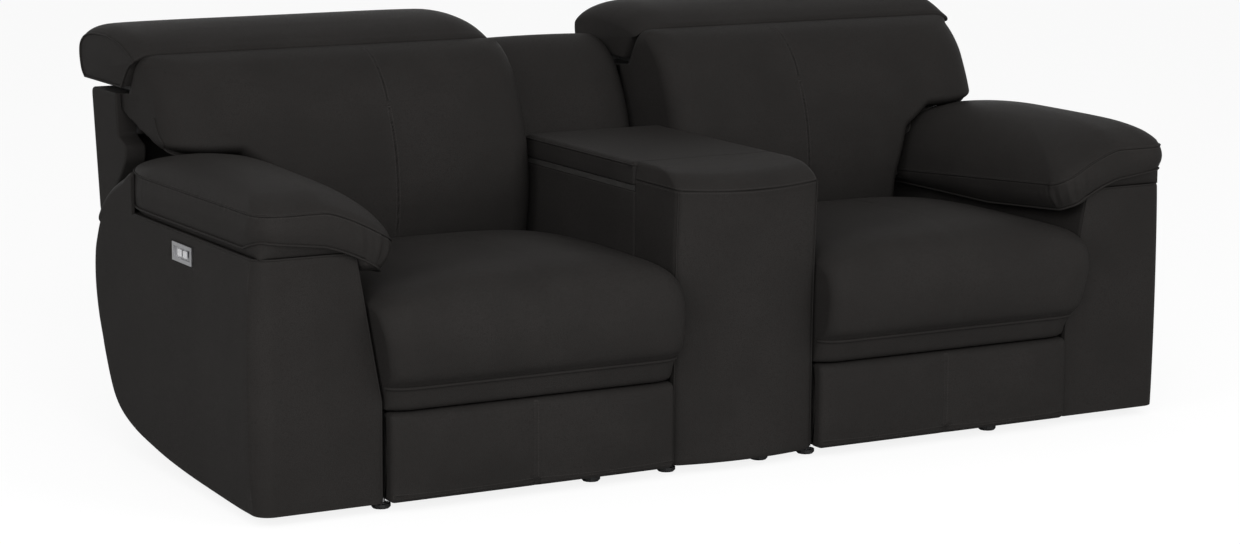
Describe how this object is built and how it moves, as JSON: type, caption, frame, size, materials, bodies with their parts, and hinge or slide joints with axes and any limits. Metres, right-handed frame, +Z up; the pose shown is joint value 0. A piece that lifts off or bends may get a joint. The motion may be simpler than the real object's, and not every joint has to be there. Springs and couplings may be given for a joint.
{
  "type": "power reclining sofa with storage console",
  "caption": "Two-seat power reclining sofa: padded sloping arms, folding footrests, reclining backs, tilting headrests and a lidded storage console between the seats.",
  "frame": {"origin": "on the floor under the middle of the whole sofa", "axes": "+X to the viewer's right when facing the sofa, -Y towards the viewer, +Z up"},
  "size_m": [2, 1.08, 0.815],
  "materials": {
    "leather": "soft satin with a fine grain",
    "board": "raw plywood",
    "steel": "black powder coat",
    "zinc": "zinc plated",
    "plastic": "moulded, satin",
    "bezel": "brushed",
    "button": "smooth"
  },
  "bodies": {
    "sofa_frame": {"console_back_frame": "leather", "console_back_pad": "leather", "console_box": "leather", "console_front": "leather", "console_front_foot_1": "plastic", "console_front_foot_2": "plastic", "console_lid_hinge_base": "zinc", "console_rear_foot_1": "plastic", "console_rear_foot_2": "plastic", "left_arm": "leather", "left_arm_pillow": "leather", "left_base_frame": "board", "left_front_foot_1": "plastic", "left_front_foot_2": "plastic", "left_rear_foot_1": "plastic", "left_rear_foot_2": "plastic", "left_switch_bezel": "bezel", "power_inlet": "plastic", "right_arm": "leather", "right_arm_pillow": "leather", "right_base_frame": "board", "right_front_foot_1": "plastic", "right_front_foot_2": "plastic", "right_rear_foot_1": "plastic", "right_rear_foot_2": "plastic", "right_switch_bezel": "bezel"},
    "left_seat_unit": {"left_seat_frame": "board", "left_seat_cushion": "leather", "left_actuator_body": "plastic"},
    "left_rod": {"left_actuator_rod": "zinc"},
    "left_crank": {"left_footrest_crank": "steel"},
    "left_link": {"left_footrest_link": "steel"},
    "left_footrest": {"left_footrest_bracket": "steel", "left_footrest_board": "board", "left_footrest_pad": "leather"},
    "left_back": {"left_back_frame": "leather", "left_back_cushion": "leather"},
    "left_headrest": {"left_headrest_frame": "board", "left_headrest_cushion": "leather"},
    "left_button_1": {"left_switch_button_1": "button"},
    "left_button_2": {"left_switch_button_2": "button"},
    "right_seat_unit": {"right_seat_frame": "board", "right_seat_cushion": "leather", "right_actuator_body": "plastic"},
    "right_rod": {"right_actuator_rod": "zinc"},
    "right_crank": {"right_footrest_crank": "steel"},
    "right_link": {"right_footrest_link": "steel"},
    "right_footrest": {"right_footrest_bracket": "steel", "right_footrest_board": "board", "right_footrest_pad": "leather"},
    "right_back": {"right_back_frame": "leather", "right_back_cushion": "leather"},
    "right_headrest": {"right_headrest_frame": "board", "right_headrest_cushion": "leather"},
    "right_button_1": {"right_switch_button_1": "button"},
    "right_button_2": {"right_switch_button_2": "button"},
    "console_lid": {"console_lid_board": "board", "console_lid_hinge_leaf": "zinc", "console_lid_pad": "leather"}
  },
  "joints": [
    {"name": "left_footrest_drive", "type": "hinge", "parent": "left_seat_unit", "child": "left_crank", "pos_m": [-0.456, -0.325, 0.22], "axis": [-1, 0, 0], "range_deg": [0, 112]},
    {"name": "left_footrest_link", "type": "hinge", "parent": "left_crank", "child": "left_link", "pos_m": [-0.456, -0.19419, 0.08919], "axis": [-1, 0, 0], "range_deg": [-67.8, 0]},
    {"name": "left_footrest_panel", "type": "hinge", "parent": "left_link", "child": "left_footrest", "pos_m": [-0.456, -0.42, 0.1], "axis": [-1, 0, 0], "range_deg": [0, 45.8]},
    {"name": "left_seat_glide", "type": "slide", "parent": "sofa_frame", "child": "left_seat_unit", "axis": [0, -1, 0], "range_m": [0, 0.0402]},
    {"name": "left_actuator_slide", "type": "slide", "parent": "left_seat_unit", "child": "left_rod", "axis": [0, -1, 0], "range_m": [0, 0.0816]},
    {"name": "left_recline", "type": "hinge", "parent": "left_seat_unit", "child": "left_back", "pos_m": [-0.456, 0.235, 0.26], "axis": [-1, 0, 0], "range_deg": [0, 28]},
    {"name": "left_headrest_tilt", "type": "hinge", "parent": "left_back", "child": "left_headrest", "pos_m": [-0.456, 0.25, 0.76], "axis": [1, 0, 0], "range_deg": [0, 45]},
    {"name": "left_button_1_press", "type": "slide", "parent": "sofa_frame", "child": "left_button_1", "axis": [1, 0, 0], "range_m": [0, 0.0015], "stiffness_N_per_m": 200},
    {"name": "left_button_2_press", "type": "slide", "parent": "sofa_frame", "child": "left_button_2", "axis": [1, 0, 0], "range_m": [0, 0.0015], "stiffness_N_per_m": 200},
    {"name": "right_footrest_drive", "type": "hinge", "parent": "right_seat_unit", "child": "right_crank", "pos_m": [0.456, -0.325, 0.22], "axis": [-1, 0, 0], "range_deg": [0, 112]},
    {"name": "right_footrest_link", "type": "hinge", "parent": "right_crank", "child": "right_link", "pos_m": [0.456, -0.19419, 0.08919], "axis": [-1, 0, 0], "range_deg": [-67.8, 0]},
    {"name": "right_footrest_panel", "type": "hinge", "parent": "right_link", "child": "right_footrest", "pos_m": [0.456, -0.42, 0.1], "axis": [-1, 0, 0], "range_deg": [0, 45.8]},
    {"name": "right_seat_glide", "type": "slide", "parent": "sofa_frame", "child": "right_seat_unit", "axis": [0, -1, 0], "range_m": [0, 0.0402]},
    {"name": "right_actuator_slide", "type": "slide", "parent": "right_seat_unit", "child": "right_rod", "axis": [0, -1, 0], "range_m": [0, 0.0816]},
    {"name": "right_recline", "type": "hinge", "parent": "right_seat_unit", "child": "right_back", "pos_m": [0.456, 0.235, 0.26], "axis": [-1, 0, 0], "range_deg": [0, 28]},
    {"name": "right_headrest_tilt", "type": "hinge", "parent": "right_back", "child": "right_headrest", "pos_m": [0.456, 0.25, 0.76], "axis": [1, 0, 0], "range_deg": [0, 45]},
    {"name": "right_button_1_press", "type": "slide", "parent": "sofa_frame", "child": "right_button_1", "axis": [-1, 0, 0], "range_m": [0, 0.0015], "stiffness_N_per_m": 200},
    {"name": "right_button_2_press", "type": "slide", "parent": "sofa_frame", "child": "right_button_2", "axis": [-1, 0, 0], "range_m": [0, 0.0015], "stiffness_N_per_m": 200},
    {"name": "console_lid_hinge", "type": "hinge", "parent": "sofa_frame", "child": "console_lid", "pos_m": [0, 0.141, 0.5307], "axis": [-1, 0, 0], "range_deg": [0, 90]}
  ],
  "couplings": [
    {"joint": "left_footrest_link", "follows": "left_footrest_drive", "ratio": -0.60446},
    {"joint": "left_footrest_panel", "follows": "left_footrest_drive", "ratio": 0.40804},
    {"joint": "left_seat_glide", "follows": "left_footrest_drive", "m_per_rad": 0.0205},
    {"joint": "left_actuator_slide", "follows": "left_footrest_drive", "m_per_rad": 0.0416},
    {"joint": "right_footrest_link", "follows": "right_footrest_drive", "ratio": -0.60446},
    {"joint": "right_footrest_panel", "follows": "right_footrest_drive", "ratio": 0.40804},
    {"joint": "right_seat_glide", "follows": "right_footrest_drive", "m_per_rad": 0.0205},
    {"joint": "right_actuator_slide", "follows": "right_footrest_drive", "m_per_rad": 0.0416}
  ]
}
